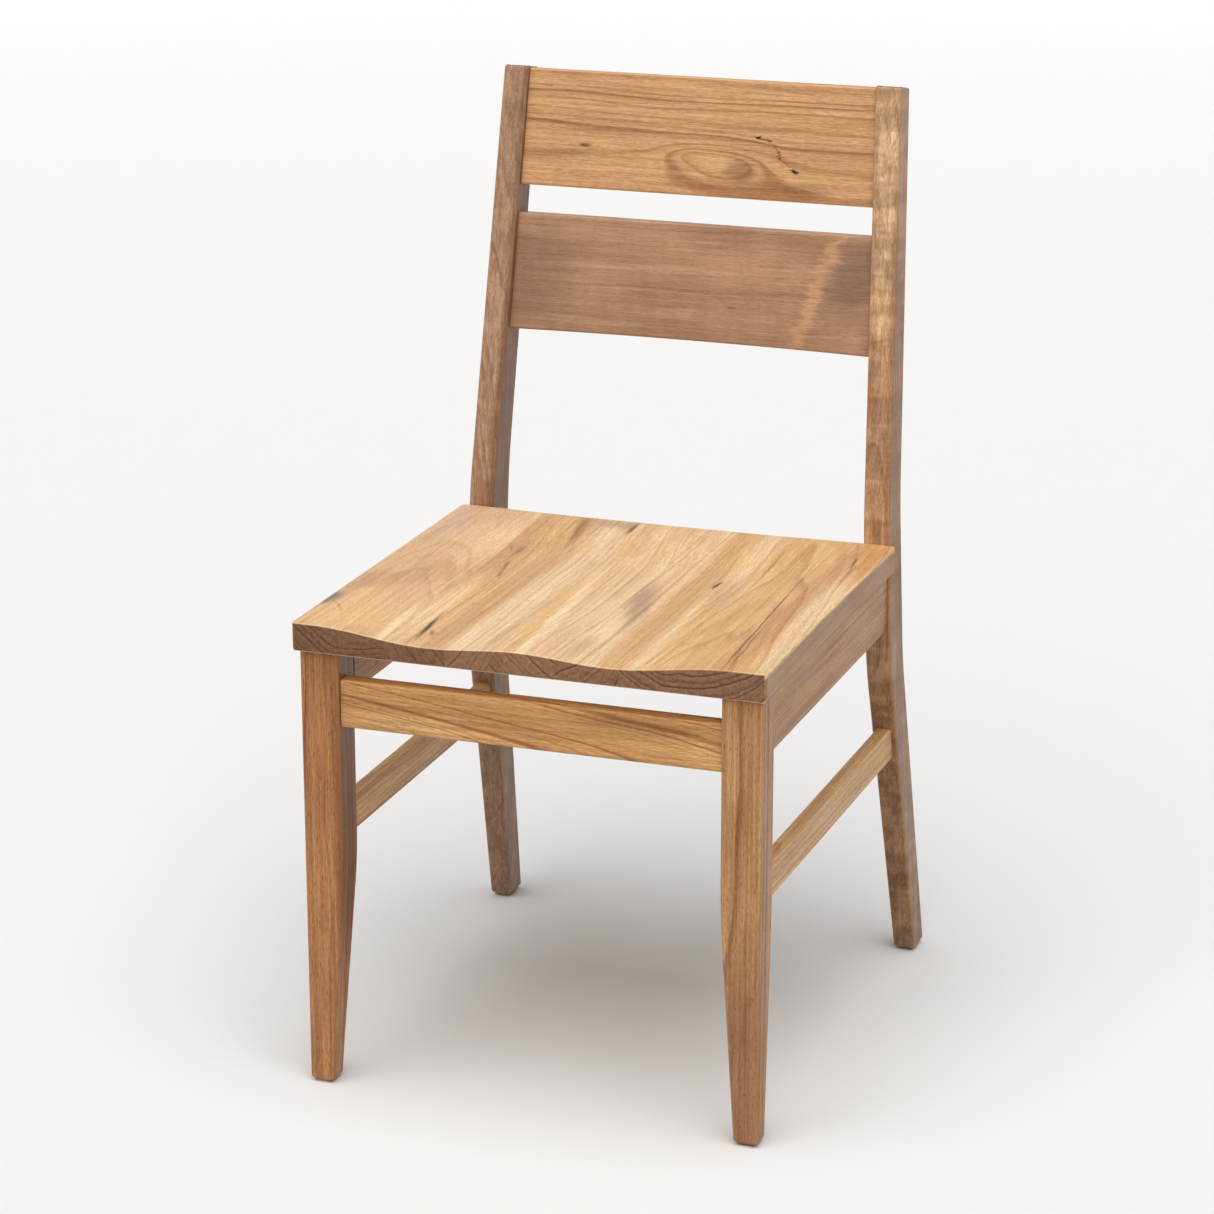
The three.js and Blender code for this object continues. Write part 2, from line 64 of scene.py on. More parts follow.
def soft_bend(height, round_length):
    """Zero below minus the round length, the height itself above it, and a parabola that joins them."""
    blend = np.clip((height + round_length) / (2 * round_length), 0, 1)
    return np.where(height > round_length, height, round_length * blend**2)


def rounded_end(distance, radius):
    """How far a face stands in from its line this far from a rounded end: a quarter circle's shortfall."""
    left = radius - np.clip(distance, 0, radius)
    return radius - np.sqrt(radius**2 - left**2)


def cut_end(distance, size):
    """How far a face stands in at a bevelled end: the bevel's size less the distance, soft where it starts,
    so that it starts a little further in than its size."""
    return soft_bend(size - distance, (BEVEL_START - 1) * size)


def stations(start, end, bevel, between=()):
    """Stations along a stick: quarter-circle spacing in the bevel at each end, the given ones between."""
    near = bevel * (1 - np.cos(np.linspace(0, pi / 2, END_STEPS)))
    return np.unique(np.concatenate([start + near, np.asarray(between, float), end - near]))


def section(low_u, high_u, low_v, high_v, radius, flats=(4, 4, 4, 4)):
    """Points round a rectangle with rounded corners, one ring for each station, or one for the whole stick.

    A point is the inner rectangle's corner, or a share of the way to the next one along a flat, plus the
    radius in the direction that faces outwards there. Returns u, v, the share up v and the arris weight,
    which is 1 in the middle of a rounded corner and 0 on the flats.
    """
    corner_u = np.array([1, 0, 0, 1, 1])
    corner_v = np.array([1, 1, 0, 0, 1])
    share_u, share_v, angle = [], [], []
    for turn, count in enumerate(flats):
        step = (1 - np.cos(np.linspace(0, pi, count + 2)[1:-1])) / 2
        for share, corner in ((share_u, corner_u), (share_v, corner_v)):
            flat = corner[turn] + step * (corner[turn + 1] - corner[turn])
            share += [np.full(ARRIS_POINTS, corner[turn]), flat]
        angle += [(turn + np.linspace(0, 1, ARRIS_POINTS)) * pi / 2, np.full(count, (turn + 1) * pi / 2)]
    share_u, share_v, angle = (np.concatenate(parts) for parts in (share_u, share_v, angle))
    low_u, high_u, low_v, high_v = (np.atleast_1d(side)[:, None] for side in (low_u, high_u, low_v, high_v))
    u = low_u + radius + share_u * (high_u - low_u - 2 * radius) + radius * np.cos(angle)
    v = low_v + radius + share_v * (high_v - low_v - 2 * radius) + radius * np.sin(angle)
    return u, v, share_v, np.abs(np.sin(2 * angle))


def carried(name, x, y, z, arris):
    """A closed piece from rings of points along a path: quads between the rings, a face at each end."""
    points = np.stack(np.broadcast_arrays(x, y, z), axis=-1)
    rings, around = points.shape[:2]
    here = np.arange(around)
    following = np.roll(here, -1)
    start = np.arange(rings - 1)[:, None] * around
    above = start + around
    quads = np.stack([start + here, start + following, above + following, above + here], -1)
    caps = [here[::-1].tolist(), (here + (rings - 1) * around).tolist()]
    mesh = bpy.data.meshes.new(name)
    mesh.from_pydata(points.reshape(-1, 3), [], quads.reshape(-1, 4).tolist() + caps)
    weight = mesh.attributes.new("arris", "FLOAT", "POINT")
    weight.data.foreach_set("value", np.broadcast_to(arris, (rings, around)).astype(np.float32).ravel())
    shell = bmesh.new()
    shell.from_mesh(mesh)
    bmesh.ops.recalc_face_normals(shell, faces=shell.faces)
    shell.to_mesh(mesh)
    shell.free()
    mesh.shade_smooth()
    mesh.set_sharp_from_angle(angle=SHARP_ANGLE)
    piece = bpy.data.objects.new(name, mesh)
    bpy.context.scene.collection.objects.link(piece)
    return piece


def fit(piece, node, material):
    """Gives a finished piece its material, its place on the chair and the node that it stands for."""
    piece.data.materials.append(material)
    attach(piece, "root")
    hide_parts(node)


def shade(hex_colour):
    """A colour given as six hex digits, as the shader wants it: linear by the sRGB curve, full alpha."""
    parts = np.array([int(hex_colour[k : k + 2], 16) / 255 for k in (0, 2, 4)])
    linear = np.where(parts <= 0.04045, parts / 12.92, ((parts + 0.055) / 1.055) ** 2.4)
    return (*linear.tolist(), 1.0)


def add(tree, kind, *inputs, **settings):
    """Adds a shader node, sets its properties and fills its inputs in order; None leaves one as it is."""
    node = tree.nodes.new("ShaderNode" + kind)
    for key, value in settings.items():
        setattr(node, key, value)
    for socket, value in zip(node.inputs, inputs):
        if isinstance(value, bpy.types.NodeSocket):
            tree.links.new(value, socket)
        elif value is not None:
            socket.default_value = value
    return node


def maths(tree, operation, *inputs):
    """The result of one arithmetic node."""
    return add(tree, "Math", *inputs, operation=operation).outputs[0]


def mixed(tree, share, first, second, blend_type="MIX"):
    """Two colours blended by a share."""
    node = add(tree, "Mix", data_type="RGBA", blend_type=blend_type)
    for socket, value in ((node.inputs[0], share), (node.inputs[6], first), (node.inputs[7], second)):
        if isinstance(value, bpy.types.NodeSocket):
            tree.links.new(value, socket)
        else:
            socket.default_value = value
    return node.outputs[2]


def ranged(tree, value, low, high, to_low=0.0, to_high=1.0):
    """A value taken from one range to another, slowly at both ends."""
    node = add(tree, "MapRange", value, low, high, to_low, to_high, interpolation_type="SMOOTHSTEP")
    return node.outputs[0]


def grain_noise(tree, place, size, detail=2.0, rough=0.5):
    """Noise whose lumps have this size: millimetres across the grain, and along it."""
    across, along = size
    squeezed = add(tree, "VectorMath", place, (1 / across, 1 / across, 1 / along), operation="MULTIPLY")
    return add(tree, "TexNoise", squeezed.outputs[0], None, 1.0, detail, rough)


def scattered(tree, place, size, detail, rough, throw):
    """A push in any direction, as far as the throw says on each axis, that changes from lump to lump."""
    noise = grain_noise(tree, place, size, detail, rough).outputs["Color"]
    centred = add(tree, "VectorMath", noise, (0.5, 0.5, 0.5), operation="SUBTRACT").outputs[0]
    return add(tree, "VectorMath", centred, throw, operation="MULTIPLY").outputs[0]


# how each grain direction turns the wood's own axes to the chair's, and its direction on the chair
GRAIN_TURNS = {"X": (0, -pi / 2, 0), "Y": (pi / 2, 0, 0), "Z": (0, 0, 0)}
GRAIN_AXES = {"X": (1, 0, 0), "Y": (0, 1, 0), "Z": (0, 0, 1)}
# sizes of the figure, each in millimetres across the grain and along it
WAVE = (70, 420)
RIPPLE = (14, 130)
BAND = (15, 520)
CLOUD = (30, 120)
TORN_EDGE = (6, 40)
STREAK = (3.5, 230)
FIBRE = (1.1, 55)
FLECK = (0.9, 8)
PORE = (0.6, 5.5)
CURL = (60, 13)
# how far waves, ripples and a mark's torn edge throw the wood, the first two as shares of its wander
WAVE_THROW = 4
RIPPLE_THROW = 0.35
TORN_THROW = (3.0, 3.0, 34.0)
# a growth ring from its early wood to its late wood: (share of the ring, darkness)
RING_START = 0.1
RING_END = 0.12
RING_PROFILE = ((0.3, 0.14), (0.62, 0.42), (0.85, 1.0), (0.94, 0.8))
RING_UNEVENNESS = 2.2
EYE_DEPTH = 900
THROUGH = 1e4
PLAIN = (1, 1, 1, 1)
STREAK_DARK = (0.82, 0.78, 0.74, 1)
STREAK_PALE = (1.12, 1.13, 1.14, 1)
FIBRE_DARK = (0.78, 0.75, 0.72, 1)
FIBRE_PALE = (1.17, 1.18, 1.19, 1)
CUT_END_RING = "4f372a"
# each piece is taken from another place in the log, this far on for each whole number of its seed
SEED_STEP = (97, 53, 211)


def timber(
    name,
    grain,
    tones,
    pith,
    lean=(0.0, 0.0),
    origin=(0.0, 0.0, 0.0),
    ring=5.0,
    ring_depth=0.5,
    faintest=0.25,
    wander=6.0,
    figure=0.5,
    curl=0.0,
    seed=0.0,
    eyes=(),
    marks=(),
    ring_tint="b99273",
    pore_depth=0.22,
    streaks=1.0,
    fibres=1.0,
    end_tone="8a6345",
):
    """Lacquered hardwood, as if sawn out of one log.

    Places in the wood are millimetres across the face, into it and along the grain, from the origin. The
    growth rings are shells round the pith, a line that leans as it goes along the grain. Noise drawn out
    along the grain bends the shells, and each eye swells them round one point, as round a buried branch:
    (across, along), (half width, half length), swell. Shells darken towards their outer edge. Under them
    lie broad bands of colour and the marks, which are long soft-edged ovals: (across, along), (half width,
    half length), turn in degrees, colour, strength, edge softness. A mark goes right through the wood,
    unless its middle's depth and its half thickness follow.
    """
    material = bpy.data.materials.new(name)
    material.use_nodes = True
    tree = material.node_tree
    tree.nodes.clear()
    spot = add(tree, "TexCoord").outputs["Object"]
    moved = add(tree, "VectorMath", spot, tuple(-value for value in origin), operation="ADD").outputs[0]
    scaled = add(tree, "Mapping", moved, None, None, (1 / MM,) * 3).outputs[0]
    place = add(tree, "Mapping", scaled, None, GRAIN_TURNS[grain]).outputs[0]
    log_place = tuple(seed * step for step in SEED_STEP)
    own = add(tree, "VectorMath", place, log_place, operation="ADD").outputs[0]

    # the shells, bent by slow waves and by the eyes
    push = scattered(tree, own, WAVE, 2.0, 0.5, (WAVE_THROW * wander,) * 3)
    small_push = scattered(tree, own, RIPPLE, 2.0, 0.5, (RIPPLE_THROW * wander,) * 3)
    bent = add(tree, "VectorMath", place, push, operation="ADD").outputs[0]
    bent = add(tree, "VectorMath", bent, small_push, operation="ADD").outputs[0]
    split = add(tree, "SeparateXYZ", bent)
    off_x = maths(tree, "SUBTRACT", split.outputs[0], pith[0])
    off_x = maths(tree, "SUBTRACT", off_x, maths(tree, "MULTIPLY", split.outputs[2], lean[0]))
    off_y = maths(tree, "SUBTRACT", split.outputs[1], pith[1])
    off_y = maths(tree, "SUBTRACT", off_y, maths(tree, "MULTIPLY", split.outputs[2], lean[1]))
    offset = add(tree, "CombineXYZ", off_x, off_y, 0.0).outputs[0]
    radius = add(tree, "VectorMath", offset, operation="LENGTH").outputs["Value"]
    for (eye_x, eye_z), (half_x, half_z), swell in eyes:
        size = (half_x, EYE_DEPTH, half_z)
        around = add(tree, "Mapping", bent, (eye_x, 0, eye_z), None, size, vector_type="TEXTURE").outputs[0]
        away = add(tree, "VectorMath", around, operation="LENGTH").outputs["Value"]
        # a bell curve: e to the power of minus the square of the distance
        bump = maths(tree, "EXPONENT", maths(tree, "MULTIPLY", maths(tree, "MULTIPLY", away, away), -1.0))
        radius = maths(tree, "ADD", radius, maths(tree, "MULTIPLY", bump, swell))
    count = maths(tree, "DIVIDE", radius, ring)
    uneven = add(tree, "TexNoise", None, count, 0.45, 1.0, noise_dimensions="1D").outputs["Fac"]
    count = maths(tree, "ADD", count, maths(tree, "MULTIPLY", uneven, RING_UNEVENNESS))
    through = maths(tree, "FRACT", count)
    late = add(tree, "FloatCurve", 1.0, through)
    curve = late.mapping.curves[0]
    curve.points[0].location = (0.0, RING_START)
    curve.points[1].location = (1.0, RING_END)
    for at, height in RING_PROFILE:
        curve.points.new(at, height)
    late.mapping.update()
    whole = maths(tree, "FLOOR", count)
    strength = add(tree, "TexWhiteNoise", None, whole, noise_dimensions="1D").outputs["Value"]
    strength = ranged(tree, strength, 0.0, 1.0, faintest, 1.0)
    rings = maths(tree, "MULTIPLY", late.outputs[0], strength)

    # colour: broad bands, and the marks over them
    light, middle, dark = (shade(tone) for tone in tones)
    broad = grain_noise(tree, own, BAND, 3.0, 0.55).outputs["Fac"]
    cloud = grain_noise(tree, own, CLOUD, 3.0, 0.6).outputs["Fac"]
    banding = maths(tree, "MULTIPLY_ADD", cloud, 0.45, maths(tree, "MULTIPLY", broad, 0.55))
    spread = 0.13 / figure
    colour = mixed(tree, ranged(tree, banding, 0.5 - spread, 0.5 + spread), light, middle)
    jolt = scattered(tree, own, TORN_EDGE, 3.0, 0.6, TORN_THROW)
    torn = add(tree, "VectorMath", place, jolt, operation="ADD").outputs[0]
    for (at_x, at_z), (half_x, half_z), turn, tone, depth, edge, *beneath in marks:
        at_y, half_y = beneath or (0, THROUGH)
        centre, size = (at_x, at_y, at_z), (half_x, half_y, half_z)
        oval = add(tree, "Mapping", torn, centre, (0, radians(turn), 0), size, vector_type="TEXTURE")
        away = add(tree, "VectorMath", oval.outputs[0], operation="LENGTH").outputs["Value"]
        cover = ranged(tree, away, 1 + edge, 1 - edge, 0.0, depth)
        colour = mixed(tree, cover, colour, shade(tone))

    # then the rings, the fibres and the pores, which darken what they cross
    ring_shade = mixed(tree, maths(tree, "MULTIPLY", rings, ring_depth), PLAIN, shade(ring_tint))
    colour = mixed(tree, 1.0, colour, ring_shade, "MULTIPLY")
    streak = grain_noise(tree, own, STREAK, 3.0, 0.6).outputs["Fac"]
    drawn = mixed(tree, ranged(tree, streak, 0.34, 0.66), STREAK_DARK, STREAK_PALE)
    colour = mixed(tree, streaks, colour, mixed(tree, 1.0, colour, drawn, "MULTIPLY"))
    fibre = grain_noise(tree, own, FIBRE, 3.0, 0.65).outputs["Fac"]
    fleck = grain_noise(tree, own, FLECK, 2.0, 0.6).outputs["Fac"]
    grit = maths(tree, "MULTIPLY_ADD", fleck, 0.5, maths(tree, "MULTIPLY", fibre, 0.5))
    fine = mixed(tree, ranged(tree, grit, 0.36, 0.64), FIBRE_DARK, FIBRE_PALE)
    colour = mixed(tree, fibres, colour, fine, "MULTIPLY")
    dots = grain_noise(tree, own, PORE, 1.0, 0.4).outputs["Fac"]
    pores = ranged(tree, dots, 0.6, 0.7)
    pore_shade = maths(tree, "MULTIPLY_ADD", rings, 0.3, pore_depth)
    colour = mixed(tree, maths(tree, "MULTIPLY", pores, pore_shade), colour, dark)
    if curl:
        flame = ranged(tree, grain_noise(tree, own, CURL, 2.0, 0.55).outputs["Fac"], 0.36, 0.66)
        dip = (1 - curl, 1 - 1.15 * curl, 1 - 1.25 * curl, 1)
        glow = mixed(tree, flame, dip, (1 + curl, 1 + curl, 1 + curl, 1))
        colour = mixed(tree, 1.0, colour, glow, "MULTIPLY")

    # cut ends drink more lacquer and darken; eased arrises get a painted highlight, a little paler along
    # their rounding
    facing = add(tree, "NewGeometry").outputs["Normal"]
    square = add(tree, "VectorMath", facing, GRAIN_AXES[grain], operation="DOT_PRODUCT").outputs["Value"]
    end_grain = ranged(tree, maths(tree, "ABSOLUTE", square), 0.72, 0.96)
    end_colour = mixed(tree, rings, shade(end_tone), shade(CUT_END_RING))
    mottle = mixed(tree, 1.0, drawn, fine, "MULTIPLY")
    end_colour = mixed(tree, 1.0, end_colour, mottle, "MULTIPLY")
    colour = mixed(tree, end_grain, colour, end_colour)
    eased = add(tree, "Attribute", attribute_name="arris").outputs["Fac"]
    # painted highlight: the rounded arrises are lightened as if they caught the light
    arris_highlight = maths(tree, "MULTIPLY", eased, maths(tree, "MULTIPLY", cloud, 0.35))
    colour = mixed(tree, arris_highlight, colour, light)

    # satin lacquer, a little duller over pores and cut ends, sunk into the pores
    gloss = add(tree, "TexNoise", own, None, 0.02, 3.0, 0.6).outputs["Fac"]
    rough = ranged(tree, gloss, 0.3, 0.7, 0.36, 0.46)
    rough = maths(tree, "MULTIPLY_ADD", end_grain, 0.12, rough)
    rough = maths(tree, "MULTIPLY_ADD", pores, 0.1, rough)
    height = maths(tree, "MULTIPLY_ADD", pores, -0.7, maths(tree, "MULTIPLY", fibre, 0.35))
    relief = add(tree, "Bump", 0.35, 0.00008)
    tree.links.new(height, relief.inputs["Height"])
    skin = add(tree, "BsdfPrincipled")
    skin.inputs["IOR"].default_value = 1.5
    skin.inputs["Specular IOR Level"].default_value = 0.3
    tree.links.new(colour, skin.inputs["Base Color"])
    tree.links.new(rough, skin.inputs["Roughness"])
    tree.links.new(relief.outputs[0], skin.inputs["Normal"])
    tree.links.new(skin.outputs[0], add(tree, "OutputMaterial").inputs["Surface"])
    return material


leg_timber = {
    "right": timber(
        "leg_timber_right", "Z", ("c59968", "a17348", "523722"), pith=(235, -60), lean=(0.01, 0.004),
        ring=3.2, ring_depth=0.75, wander=5, pore_depth=0.6, seed=1.3,
        marks=[
            ((205, 60), (14, 150), 0, "81583e", 0.6, 0.6),
            ((231, 150), (5, 220), 0, "d8b088", 0.5, 0.5),
        ],
    ),
    "left": timber(
        "leg_timber_left", "Z", ("be8958", "9b673c", "4f301b"), pith=(-140, -70), lean=(-0.01, 0.006),
        ring=3.0, ring_depth=0.75, wander=5, pore_depth=0.5, seed=2.7,
        # painted shade: the upper inner face under the seat is darkened as if shaded by it
        marks=[((-181, 230), (8, 280), 0, "6b421c", 0.7, 0.6)],
    ),
}
SIDES = (("right", 1), ("left", -1))
KNEE_STEPS = 17

low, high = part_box("front_leg_right")
for side, sign in SIDES:
    knee = LEG_KNEE + LEG_KNEE_ROUND * np.linspace(-1, 1, KNEE_STEPS)
    level = stations(low.z, high.z, BEVEL_START * FOOT_BEVEL, knee)
    taper = soft_bend(LEG_KNEE - level, LEG_KNEE_ROUND) / LEG_KNEE
    bevel = cut_end(level - low.z, FOOT_BEVEL)
    width = (high.x - low.x) - (high.x - low.x - LEG_FOOT_WIDTH) * taper
    depth = (high.y - low.y) - (high.y - low.y - LEG_FOOT_DEPTH) * taper
    x, y, _, arris = section(
        high.x - width + bevel, high.x - bevel, low.y + bevel, low.y + depth - bevel, ARRIS_RADIUS
    )
    leg = carried(f"turned_out_leg_{side}", sign * x, y, level[:, None], arris)
    fit(leg, f"front_leg_{side}", leg_timber[side])

# ---------------------------------------------------------------- back posts
# Each post is sawn from one plank: a raked foot, upright where the seat and aprons meet it, and leaning
# back above. The long grain runs up the plank, so it leaves the faces at the rake and the lean.
POST_THICKNESS = 25.8 * MM
POST_FOOT_THICKNESS = 22.4 * MM
POST_DEPTH = 45.5 * MM
POST_FOOT_DEPTH = 31.5 * MM
POST_TOP_DEPTH = 31.2 * MM
KNEE_DROP = 37.7 * MM
BEND_FRONT_RISE = 17 * MM
BEND_REAR_RISE = 35 * MM
BACK_RAKE = 0.163
POST_BEND_ROUND = 24 * MM
POST_INSET = 2.3 * MM
POST_FOOT_SPLAY = 9.3 * MM
POST_TOP_DRAW = 21 * MM
TOP_EASE = 2.2 * MM
TIP_RUN = 48 * MM
SEAT_GAP = 0.3 * MM
FOOT_INSIDE = 0.1 * MM
BEND_REACH = 1.1
BEND_STEPS = 15
SEAT_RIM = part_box("seat_board_1")[1].z
SEAT_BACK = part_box("seat_board_1")[1].y + SEAT_GAP
SEAT_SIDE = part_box("seat_board_6")[1].x
APRON_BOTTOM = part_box("side_apron_right")[0].z
POST_KNEE = APRON_BOTTOM - KNEE_DROP
POST_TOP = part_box("back_post_right")[1].z
FOOT_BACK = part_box("back_post_right")[1].y - FOOT_INSIDE
FOOT_KICK = FOOT_BACK - POST_FOOT_DEPTH - SEAT_BACK
FRONT_BEND = SEAT_RIM + BEND_FRONT_RISE
REAR_BEND = SEAT_RIM + BEND_REAR_RISE
FRONT_RAKE = FOOT_KICK / POST_KNEE
REAR_RAKE = (FOOT_BACK - SEAT_BACK - POST_DEPTH) / (POST_KNEE - FOOT_BEVEL)
TOP_SETBACK = BACK_RAKE * (POST_TOP - FRONT_BEND)
REAR_LEAN = (TOP_SETBACK + POST_TOP_DEPTH - POST_DEPTH) / (POST_TOP - REAR_BEND)
LEAN = (BACK_RAKE + REAR_LEAN) / 2


def post_front(level):
    """The post's front line: raked below the knee, leaning above the bend, upright between."""
    raked = FRONT_RAKE * soft_bend(POST_KNEE - level, POST_BEND_ROUND)
    return SEAT_BACK + raked + BACK_RAKE * soft_bend(level - FRONT_BEND, POST_BEND_ROUND)


def post_back(level):
    """The post's rear line, which bends a little higher up than the front one."""
    raked = REAR_RAKE * soft_bend(POST_KNEE - level, POST_BEND_ROUND)
    return SEAT_BACK + POST_DEPTH + raked + REAR_LEAN * soft_bend(level - REAR_BEND, POST_BEND_ROUND)


def post_outer(level):
    """The post's outer face: splayed outwards to the foot and drawn in towards the top."""
    splay = POST_FOOT_SPLAY / POST_KNEE * soft_bend(POST_KNEE - level, POST_BEND_ROUND)
    draw = POST_TOP_DRAW / (POST_TOP - POST_KNEE) * soft_bend(level - POST_KNEE, POST_BEND_ROUND)
    return SEAT_SIDE - POST_INSET + splay - draw


def post_inner(level):
    """The post's inner face, one thickness in from the outer one, thinning towards the foot."""
    rate = (POST_THICKNESS - POST_FOOT_THICKNESS) / POST_KNEE
    return post_outer(level) - POST_THICKNESS + rate * soft_bend(POST_KNEE - level, POST_BEND_ROUND)


post_timber = {
    "right": timber(
        "post_timber_right", "Z", ("caa177", "9d7758", "5e422c"), pith=(170, 60), lean=(-0.02, 0.03),
        ring=5.5, ring_depth=0.4, wander=8, curl=0.16, figure=0.8, seed=3.1,
        marks=[
            ((203, 560), (9, 110), -1, "b08d70", 0.5, 0.8),
            ((196, 800), (14, 130), -2, "e0bd9a", 0.55, 0.8),
            # painted shade: the post below the seat is darkened as if it lay in the seat's shadow
            ((225, 150), (60, 230), 0, "634530", 0.45, 0.3),
            ((216, 610), (6, 330), -2, "87592e", 0.7, 0.6),
        ],
    ),
    "left": timber(
        "post_timber_left", "Z", ("b89579", "9d7b62", "604735"), pith=(-260, 90), lean=(0.02, 0.02),
        ring=5.0, ring_depth=0.45, wander=7, curl=0.05, seed=4.9,
        marks=[
            # painted shade: the post below the seat is darkened as if it lay in the seat's shadow
            ((-225, 150), (60, 230), 0, "6b4c36", 0.35, 0.3),
            ((-186, 620), (7, 330), 2, "6f482a", 0.75, 0.6),
        ],
    ),
}

for side, sign in SIDES:
    bend_steps = BEND_REACH * POST_BEND_ROUND * np.linspace(-1, 1, BEND_STEPS)
    bends = [bend + bend_steps for bend in (POST_KNEE, FRONT_BEND, REAR_BEND)]
    between = np.concatenate(bends + [[POST_TOP - TIP_RUN / 3]])
    level = stations(0, POST_TOP, BEVEL_START * FOOT_BEVEL, between)
    ease = np.where(level < POST_KNEE, cut_end(level, FOOT_BEVEL), rounded_end(POST_TOP - level, TOP_EASE))
    inner, outer = post_inner(level) + ease, post_outer(level) - ease
    front, back = post_front(level) + ease, post_back(level) - ease
    x, y, share, arris = section(inner, outer, front, back, ARRIS_RADIUS)
    # the top is sawn square to the lean: the sections near it tip back little by little
    tip = np.clip((level - POST_TOP + TIP_RUN) / TIP_RUN, 0, 1)[:, None]
    z = level[:, None] - tip * LEAN * POST_TOP_DEPTH * share
    y = y + post_front(z) - post_front(level[:, None])
    x = x + post_inner(z) - post_inner(level[:, None])
    post = carried(f"raked_post_{side}", sign * x, y, z, arris)
    fit(post, f"back_post_{side}", post_timber[side])

# ---------------------------------------------------------------- side aprons
# Boards on edge under the seat's sides, set a little behind the faces of the legs. Tenons at both ends,
# which are glued into the leg and the post, don't show.
GLUE_LINE = 0.15 * MM
END_SPACING = 0.4 * MM
APRON_TONES = ("bf8f60", "9f7448", "5f422b")
apron_timber = {
    "right": timber(
        "apron_timber_right", "Y", APRON_TONES, pith=(150, 40), lean=(0.01, 0.01), ring_depth=0.4, seed=6.1
    ),
    "left": timber(
        "apron_timber_left", "Y", APRON_TONES, pith=(-260, 30), lean=(0.01, -0.01), ring_depth=0.4, seed=7.4
    ),
}
LEG_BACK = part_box("front_leg_right")[1].y
STICK_FILL = np.linspace(0.05, 0.95, 8)

low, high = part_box("side_apron_right")
start, end = LEG_BACK + GLUE_LINE, SEAT_BACK - GLUE_LINE
run = stations(start, end, END_SPACING, start + STICK_FILL * (end - start))
z, x, _, arris = section(low.z, high.z, low.x, high.x, ARRIS_RADIUS)
for side, sign in SIDES:
    apron = carried(f"seat_apron_{side}", sign * x, run[:, None], z, arris)
    fit(apron, f"side_apron_{side}", apron_timber[side])

# ---------------------------------------------------------------- side stretchers
# Thin bars of paler wood low between leg and post, which toe out a little with the post. The rear end is
# cut to the post's rake, and the tenons at both ends don't show.
STRETCHER_RECESS = 3.2 * MM
STRETCHER_THICKNESS = 15 * MM
STRETCHER_TOE = 2.5 * MM
END_SHARE = 0.001
STRETCHER_TONES = ("dab07a", "b98e5e", "67482c")
stretcher_timber = {
    "right": timber(
        "stretcher_timber_right", "Y", STRETCHER_TONES, pith=(240, 90), lean=(0.02, 0.02), ring=4, seed=8.2
    ),
    "left": timber(
        "stretcher_timber_left", "Y", STRETCHER_TONES, pith=(-180, 80), lean=(0.0, 0.02), ring=4, seed=9.6
    ),
}
LEG_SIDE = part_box("front_leg_right")[1].x

low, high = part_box("side_stretcher_right")
outer = LEG_SIDE - STRETCHER_RECESS
z, x, _, arris = section(low.z, high.z, outer - STRETCHER_THICKNESS, outer, ARRIS_RADIUS)
share = stations(0, 1, END_SHARE, STICK_FILL)[:, None]
end = post_front(z) - GLUE_LINE
y = LEG_BACK + GLUE_LINE + share * (end - LEG_BACK - GLUE_LINE)
for side, sign in SIDES:
    stretcher = carried(f"low_stretcher_{side}", sign * (x + share * STRETCHER_TOE), y, z, arris)
    fit(stretcher, f"side_stretcher_{side}", stretcher_timber[side])

# ---------------------------------------------------------------- front rail and rear apron
# The front rail is a bar between the legs with an open slot over it. The rear apron closes the seat frame
# between the posts, flush with their front faces, and its ends are cut to their inner ones.
RAIL_MIDDLE = (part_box("front_rail")[0].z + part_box("front_rail")[1].z) / 2
rail_timber = timber(
    "rail_timber", "X", ("d2a268", "b78450", "6a4524"), pith=(-340, 70), lean=(0.17, 0.0),
    origin=(0, 0, RAIL_MIDDLE), ring=4.2, ring_depth=0.85, pore_depth=0.4, seed=11.2,
    marks=[
        ((13, -120), (8, 75), 0, "dcb47a", 0.6, 0.7),
        ((-13, 100), (10, 60), 0, "9d6e3f", 0.5, 0.7),
        ((2, 172), (14, 20), 0, "d4aa70", 0.6, 0.6),
    ],
)
rear_apron_timber = timber(
    "rear_apron_timber", "X", APRON_TONES, pith=(-420, 240), ring_depth=0.4, seed=12.8
)
LEG_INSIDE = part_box("front_leg_right")[0].x
low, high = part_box("front_rail")
end = LEG_INSIDE - GLUE_LINE
run = stations(-end, end, END_SPACING, end * (2 * STICK_FILL - 1))
y, z, _, arris = section(low.y, high.y, low.z, high.z, ARRIS_RADIUS)
front_rail = carried("front_seat_rail", run[:, None], y, z, arris)
fit(front_rail, "front_rail", rail_timber)

low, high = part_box("rear_apron")
share = stations(-1, 1, 2 * END_SHARE, 2 * STICK_FILL - 1)[:, None]
y, z, _, arris = section(low.y, high.y, low.z, high.z, ARRIS_RADIUS)
rear_apron = carried("back_seat_apron", share * (post_inner(z) - GLUE_LINE), y, z, arris)
fit(rear_apron, "rear_apron", rear_apron_timber)

# ---------------------------------------------------------------- back slats
# Two wide flat boards tenoned between the posts, in the middle of their depth and leaning with them. The
# top one has an eye and small cracks, and the lower edge of the lower one is cut to a slight arch.
SLAT_THICKNESS = 21 * MM
TOP_SLAT_WIDTH = 115 * MM
LOWER_SLAT_WIDTH = 116.5 * MM
LOWER_SLAT_ARCH = 2 * MM
SLAT_DROP = 3.5 * MM
SLAT_GAP = 27.5 * MM
SLAT_STEPS = 40
SLAT_FILL = 0.98
SLAT_ANGLE = np.arctan(LEAN)

top_middle = POST_TOP - SLAT_DROP - TOP_SLAT_WIDTH / 2 * np.cos(SLAT_ANGLE)
slat_pitch = (TOP_SLAT_WIDTH + LOWER_SLAT_WIDTH) / 2 + SLAT_GAP
lower_middle = top_middle - slat_pitch * np.cos(SLAT_ANGLE)
